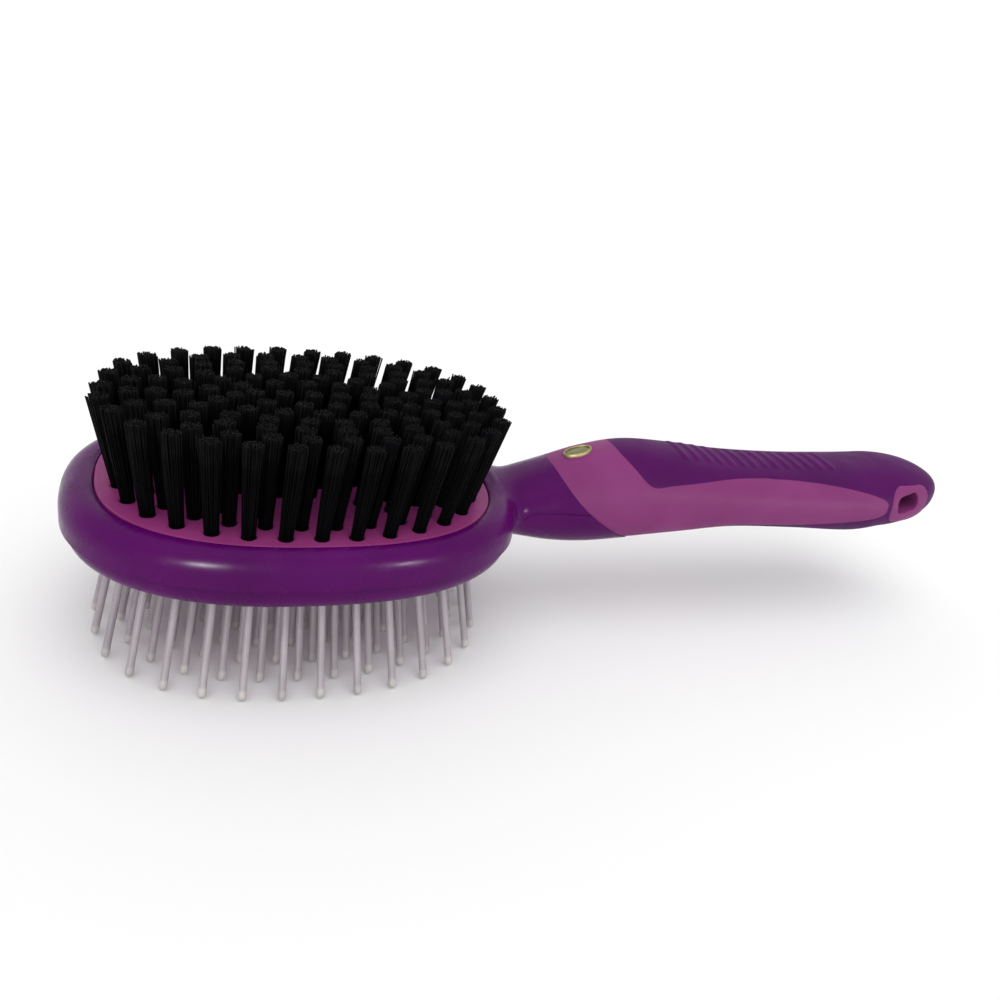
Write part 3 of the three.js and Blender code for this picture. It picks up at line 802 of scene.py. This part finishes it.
def ring_points(layout):
    half_length, half_width = layout["half"]
    step = layout["step"]
    rings = []
    for i, (count, shift) in enumerate(zip(layout["counts"], layout["starts"])):
        rings.append(points_round_oval(half_length - i * step, half_width - i * step, count, shift))
    row = (np.arange(layout["centre"]) - (layout["centre"] - 1) / 2) * step * CENTRE_SPACING
    rings.append(np.stack((row, np.zeros(len(row))), 1))
    return rings


TUFT_POINTS = ring_points(TUFT_RINGS)
PIN_POINTS = ring_points(PIN_RINGS)


def leaning(points, fan, face, tip):
    """How far each line leans in x and y for each millimetre that it rises."""
    spread = points * (fan["lengthways"] - 1, fan["sideways"] - 1)
    spread[:, 0] += fan["lean"] * (1 - (points[:, 0] / fan["lean_span"]) ** 2)
    return spread / (tip - face)


def line_distance(points, lean, face, x, y, z):
    """Distance to the nearest of a set of nearly upright lines."""
    nearest = np.full(np.shape(x), 1e9)
    for (px, py), (lx, ly) in zip(points, lean):
        nearest = np.minimum(nearest, (x - px - lx * (z - face)) ** 2 + (y - py - ly * (z - face)) ** 2)
    return np.sqrt(nearest)


PLATE_CROWN = 0.5


def plate_field(x, y, z):
    depth, width = rim_place(x, y)
    edge = (1.01 - depth) * width
    top = PLATE_TOP + PLATE_CROWN * smooth_step(-edge, 0, 24)
    body = soft_max(edge, z - top, 0.35)
    body = np.maximum(body, PLATE_BOTTOM - z)
    points = np.vstack(TUFT_POINTS)
    lean = leaning(points, TUFT_FAN, PLATE_TOP, TUFT_TIP_Z)
    hole = line_distance(points, lean, PLATE_TOP, x, y, z) - TUFT_HOLE_RADIUS
    return soft_max(body, -hole, 0.3)


def cushion_face(x, y):
    """Height of the cushion's outer face: flat at its edge, domed towards the pins."""
    half_length = HEAD_HALF_LENGTH - CUSHION_DEPTH * RIM_AT_ENDS
    half_width = HEAD_HALF_WIDTH - CUSHION_DEPTH * RIM_AT_SIDES
    share = oval_scale(x, y, half_length, half_width)
    return CUSHION_EDGE_Z - CUSHION_CROWN * (1 - np.clip(share, 0, 1) ** 2.6)


def cushion_field(x, y, z):
    depth, width = rim_place(x, y)
    face = cushion_face(x, y)
    points = np.vstack(PIN_POINTS)
    lean = leaning(points, PIN_FAN, CUSHION_FACE_Z, PIN_TIP_Z)
    pin = line_distance(points, lean, CUSHION_FACE_Z, x, y, z)
    collar = 0.45 * np.exp(-((pin / 1.5) ** 2))
    inner = (CUSHION_DEPTH - depth) * width
    skin = soft_max(np.maximum(face - collar - z, z - face - CUSHION_WALL), inner, 0.6)
    inside = -inner - CUSHION_WALL
    wall = np.maximum(np.maximum(inner, inside), np.maximum(face - z, z - CUSHION_BACK_Z))
    ring = np.maximum((FLANGE_DEPTH - depth) * width, inside)
    half_flange = FLANGE_THICKNESS / 2
    flange = np.maximum(ring, np.abs(z - CUSHION_BACK_Z + half_flange) - half_flange)
    body = np.minimum(soft_min(skin, wall, 0.8), flange)
    body = soft_max(body, PIN_RADIUS + 0.03 - pin, 0.3)
    vent = np.hypot(x - VENT["x"], y) - VENT["radius"]
    return soft_max(body, -vent, 0.4)


def make_pads():
    half = (HEAD_HALF_LENGTH - RIM_AT_ENDS, HEAD_HALF_WIDTH - RIM_AT_SIDES)
    plate = field_piece("bristle_pad", plate_field, (-half[0], -half[1], PLATE_BOTTOM),
                        (half[0], half[1], PLATE_TOP + PLATE_CROWN), 0.42, PAD_PINK)
    hand_in(plate, "brush_body", "pad_pink", "bristle_plate")
    wide = (half[0] + 2.6, half[1] + 2.0)
    cushion = field_piece("pin_cushion_domed", cushion_field, (-wide[0], -wide[1], -11.0),
                          (wide[0], wide[1], CUSHION_BACK_Z), 0.48, CUSHION_RUBBER)
    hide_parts("pin_cushion")
    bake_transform(cushion)


def frames_along(direction):
    """Two directions square to each unit direction."""
    side = np.cross(direction, np.array((0.0, 1.0, 0.0)))
    side /= np.linalg.norm(side, axis=-1, keepdims=True)
    return side, np.cross(direction, side)


def tubes(paths, radii, sides):
    """Closed tubes along paths of shape (tubes, points, 3), with a radius for each point."""
    count, steps, _ = paths.shape
    direction = paths[:, -1] - paths[:, 0]
    direction /= np.linalg.norm(direction, axis=1, keepdims=True)
    side, up = frames_along(direction)
    angle = np.arange(sides) / sides * 2 * math.pi
    around = side[:, None, None] * np.cos(angle)[:, None] + up[:, None, None] * np.sin(angle)[:, None]
    vertices = paths[:, :, None] + radii[..., None, None] * around
    first = (np.arange(count) * steps * sides)[:, None, None]
    step = (np.arange(steps - 1) * sides)[:, None]
    here = np.arange(sides)
    there = (here + 1) % sides
    quads = np.stack((first + step + here, first + step + there, first + step + sides + there,
                      first + step + sides + here), -1).reshape(-1, 4)
    starts = first[:, 0] + here[::-1]
    ends = first[:, 0] + (steps - 1) * sides + here
    return vertices.reshape(-1, 3), quads, np.concatenate((starts, ends))


TUFT_FILAMENTS = 72
FILAMENT_RADIUS = 0.17
FILAMENT_SIDES = 4


def tuft_filaments(random, foot, lean):
    """Paths of one tuft's filaments: a packed round bundle that opens a little, trimmed unevenly."""
    count = TUFT_FILAMENTS
    share = np.sqrt((np.arange(count) + 0.5) / count)
    angle = np.arange(count) * math.pi * (3 - math.sqrt(5)) + random.uniform(0, 2 * math.pi)
    share = share * random.uniform(0.9, 1.04, count)
    disc = np.stack((share * np.cos(angle), share * np.sin(angle)), 1)
    lean = lean + random.normal(0, 0.012, 2)
    tip_z = TUFT_TIP_Z - np.abs(random.normal(0, 0.3, count)) + 0.15
    stray = random.uniform(0, 1, count) > 0.93
    levels = np.array((PLATE_BOTTOM - 0.4, PLATE_TOP + 1.5, PLATE_TOP + 8, TUFT_TIP_Z - 5, TUFT_TIP_Z))
    paths = np.zeros((count, len(levels), 3))
    drift = random.normal(0, 0.12, (count, 2)) + stray[:, None] * random.normal(0, 0.35, (count, 2))
    for i, level in enumerate(levels):
        z = np.minimum(level, tip_z) if i == len(levels) - 1 else np.full(count, level)
        grown = np.clip((level - PLATE_TOP) / (TUFT_TIP_Z - PLATE_TOP), 0, 1)
        radius = TUFT_BASE_RADIUS + (TUFT_TIP_RADIUS - TUFT_BASE_RADIUS) * grown**0.55
        centre = foot + lean * (z[:, None] - PLATE_TOP)
        paths[:, i, :2] = centre + disc * (radius - FILAMENT_RADIUS) + drift * grown**2
        paths[:, i, 2] = z
    return paths


def mark(piece, name, values):
    """Stores a value for each vertex, for the material to read."""
    attribute = piece.data.attributes.new(name, "FLOAT", "POINT")
    attribute.data.foreach_set("value", np.asarray(values, np.float32))


def make_tufts():
    random = np.random.default_rng(7)
    for i, points in enumerate(TUFT_POINTS):
        lean = leaning(points, TUFT_FAN, PLATE_TOP, TUFT_TIP_Z)
        paths = np.concatenate([tuft_filaments(random, p, l) for p, l in zip(points, lean)])
        thick = FILAMENT_RADIUS * random.uniform(0.85, 1.1, len(paths))
        radii = thick[:, None] * np.ones(paths.shape[1])
        vertices, quads, caps = tubes(paths, radii, FILAMENT_SIDES)
        faces = quads.tolist() + caps.tolist()
        name = f"tuft_filaments_{i + 1}"
        piece = mesh_piece(name, vertices, faces, BLACK_NYLON)
        # painted highlight on each filament's cut end, of a random strength
        at_end = np.zeros((len(paths), paths.shape[1], FILAMENT_SIDES))
        at_end[:, -1] = random.uniform(0.2, 1.0, (len(paths), 1))
        mark(piece, "cut_end_highlight", at_end.ravel())
        hand_in(piece, "brush_body", "black_nylon", f"tuft_ring_{i + 1}")


# radius of a pin at each distance from its tip
PIN_PROFILE = (
    (0.0, 0.0), (0.05, 0.34), (0.2, 0.62), (0.5, 0.79), (1.0, 0.83), (1.7, 0.82), (2.3, 0.79), (3.0, 0.77),
    (8.0, 0.76), (14.0, 0.77), (19.0, 0.78), (22.2, 0.8), (22.6, 1.6), (23.4, 1.7), (23.8, 1.5), (23.8, 0.0),
)
PIN_FACES = 14
PIN_TIP_LENGTH = 2.2


def make_pins():
    from_tip = np.array(PIN_PROFILE)
    for i, points in enumerate(PIN_POINTS):
        lean = leaning(points, PIN_FAN, CUSHION_FACE_Z, PIN_TIP_Z)
        tips_xy = points + lean * (PIN_TIP_Z - CUSHION_FACE_Z)
        tips = np.column_stack((tips_xy, np.full(len(points), PIN_TIP_Z)))
        upward = np.column_stack((lean, np.ones(len(points))))
        upward /= np.linalg.norm(upward, axis=1, keepdims=True)
        paths = tips[:, None] + upward[:, None] * from_tip[:, 0][None, :, None]
        radii = np.broadcast_to(np.maximum(from_tip[:, 1], 0.02), paths.shape[:2])
        vertices, quads, caps = tubes(paths, radii, PIN_FACES)
        piece = mesh_piece(f"pins_{i + 1}", vertices, quads.tolist() + caps.tolist(), PIN_PLASTIC)
        near_tip = (from_tip[:, 0] < PIN_TIP_LENGTH)[None, :, None]
        tip = np.broadcast_to(near_tip, (len(points), len(from_tip), PIN_FACES))
        mark(piece, "tip", tip.ravel())
        hand_in(piece, "pin_pad", "pin_plastic", f"pin_ring_{i + 1}")


# ---- badge ------------------------------------------------------------------------------------

def oval_lathe(name, profile, material, solid=False, steps=72):
    """A ring with a closed profile of (distance in from the badge's outer edge, height), or a solid whose
    profile runs from the rim of its underside to the rim of its flat middle."""
    half_x, half_y = BADGE["half"]
    angle = np.arange(steps) / steps * 2 * math.pi
    inward = np.array(profile)[:, 0]
    height = np.array(profile)[:, 1]
    x = (half_x - inward)[None] * np.cos(angle)[:, None]
    y = (half_y - inward)[None] * np.sin(angle)[:, None]
    z = np.broadcast_to(height, x.shape)
    place = badge_place()
    points = np.stack((x, y, z), -1).reshape(-1, 3) @ place[:3, :3].T + place[:3, 3]
    count = len(profile)
    here = np.arange(steps)[:, None] * count
    there = (np.arange(steps)[:, None] + 1) % steps * count
    ring = np.arange(count)
    following = (ring + 1) % count
    quads = np.stack((here + ring, there + ring, there + following, here + following), -1)
    if not solid:
        return mesh_piece(name, points, quads.reshape(-1, 4).tolist(), material)
    bottom = here.ravel()[::-1].tolist()
    top = (here.ravel() + count - 1).tolist()
    return mesh_piece(name, points, quads[:, :-1].reshape(-1, 4).tolist() + [bottom, top], material)


def badge_place():
    """Where the badge lies: on the handle's top, tilted to its slope."""
    x = BADGE["x"]
    tops = []
    for at in (x - BADGE["half"][0], x, x + BADGE["half"][0]):
        _, middle, half_height = handle_section(np.array(at))
        tops.append(float(middle + half_height))
    tilt = math.atan2(tops[2] - tops[0], 2 * BADGE["half"][0])
    place = np.eye(4)
    place[:3, 0] = (math.cos(tilt), 0, math.sin(tilt))
    place[:3, 2] = (-math.sin(tilt), 0, math.cos(tilt))
    place[:3, 3] = (x, 0, tops[1])
    return place


def make_badge():
    rim = BADGE["rim"]
    bezel = ((0, -0.7), (0, 0.45), (0.1, 0.68), (0.28, 0.78), (0.44, 0.7), (rim, 0.5), (rim, -0.7))
    piece = oval_lathe("badge_ring", bezel, BADGE_GOLD)
    hand_in(piece, "brush_body", "badge_gold", "badge_bezel")
    inside = rim + 0.05
    face = ((inside, -0.7), (inside, 0.36), (inside + 0.12, 0.44), (inside + 0.8, 0.54), (inside + 1.4, 0.59))
    piece = oval_lathe("badge_enamel", face, BADGE_OLIVE, solid=True)
    hand_in(piece, "brush_body", "badge_olive", "badge_face")


# ---- stage, lights and camera -----------------------------------------------------------------

def make_backdrop():
    """A pale floor that curves up into a wall far behind the brush."""
    finish = Finish("pale_backdrop", 0.9, Specular_IOR_Level=0.1)
    drift = finish.spread(finish.noise(3, 2.0), 0, 1)
    finish.colour_between(drift, (0.87, 0.87, 0.87, 1), (0.89, 0.89, 0.89, 1))
    bend = [(3 + 2 * math.sin(a), 2 - 2 * math.cos(a)) for a in np.linspace(0, math.pi / 2, 24)]
    profile = [(-8.0, 0.0)] + bend + [(5.0, 6.0)]
    vertices = [(x, y, z - 0.0002) for y, z in profile for x in (-8.0, 8.0)]
    faces = [(2 * i, 2 * i + 1, 2 * i + 3, 2 * i + 2) for i in range(len(profile) - 1)]
    mesh = bpy.data.meshes.new("backdrop")
    mesh.from_pydata(vertices, [], faces)
    mesh.polygons.foreach_set("use_smooth", [True] * len(faces))
    mesh.materials.append(finish.material)
    backdrop = bpy.data.objects.new("backdrop", mesh)
    bpy.context.scene.collection.objects.link(backdrop)


def sun(name, azimuth, elevation, strength, spread, glints):
    """Soft light from far away: azimuth 0 comes from the front, and 90 from the handle's end. A light
    for glints shows in highlights only, and any other light shows in everything else."""
    a, e = math.radians(azimuth), math.radians(elevation)
    towards = Vector((math.sin(a) * math.cos(e), -math.cos(a) * math.cos(e), math.sin(e)))
    data = bpy.data.lights.new(name, "SUN")
    data.energy = strength
    data.angle = math.radians(spread)
    lamp = bpy.data.objects.new(name, data)
    lamp.rotation_euler = towards.to_track_quat("Z", "Y").to_euler()
    lamp.visible_glossy = glints
    lamp.visible_diffuse = not glints
    bpy.context.scene.collection.objects.link(lamp)


def make_lights():
    world = bpy.data.worlds.new("studio")
    world.use_nodes = True
    world.node_tree.nodes["Background"].inputs["Color"].default_value = (1, 1, 1, 1)
    world.node_tree.nodes["Background"].inputs["Strength"].default_value = 0.82
    bpy.context.scene.world = world
    sun("overhead", -13, 72, 1.0, 60, False)
    sun("front", -10, 30, 0.25, 60, False)
    sun("front_left", -25, 4, 3.0, 6, True)
    sun("front_right", 33, 0, 2.2, 5, True)
    bpy.context.scene.view_settings.view_transform = "Standard"


def make_camera():
    """The camera of the picture: in front of the head's left side, looking down at the brush."""
    place = to_row((-30.2, -182.3, 92.3))
    right = Vector((0.93637651, -0.3115071, 0.16174781)).normalized()
    forward = Vector((0.35099538, 0.83250218, -0.4286518)).normalized()
    up = right.cross(forward).normalized()
    right = forward.cross(up).normalized()
    turn = Matrix((right, up, -forward)).transposed().to_4x4()
    data = bpy.data.cameras.new("camera")
    data.sensor_width = 36
    data.lens = 33.57
    camera = bpy.data.objects.new("camera", data)
    camera.matrix_world = Matrix.Translation(Vector(place)) @ turn
    bpy.context.scene.collection.objects.link(camera)
    bpy.context.scene.camera = camera


def dress_hidden_nodes():
    """The two nodes inside the head keep their shapes and take the finish of the parts round them."""
    for name, material in (("head_divider", PAD_PINK), ("cushion_retainer", PINK_PLASTIC)):
        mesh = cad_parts[name].data
        mesh.materials.clear()
        mesh.materials.append(material)


make_camera()
make_backdrop()
make_lights()
make_shells()
make_handle()
make_pads()
make_tufts()
make_pins()
make_badge()
dress_hidden_nodes()
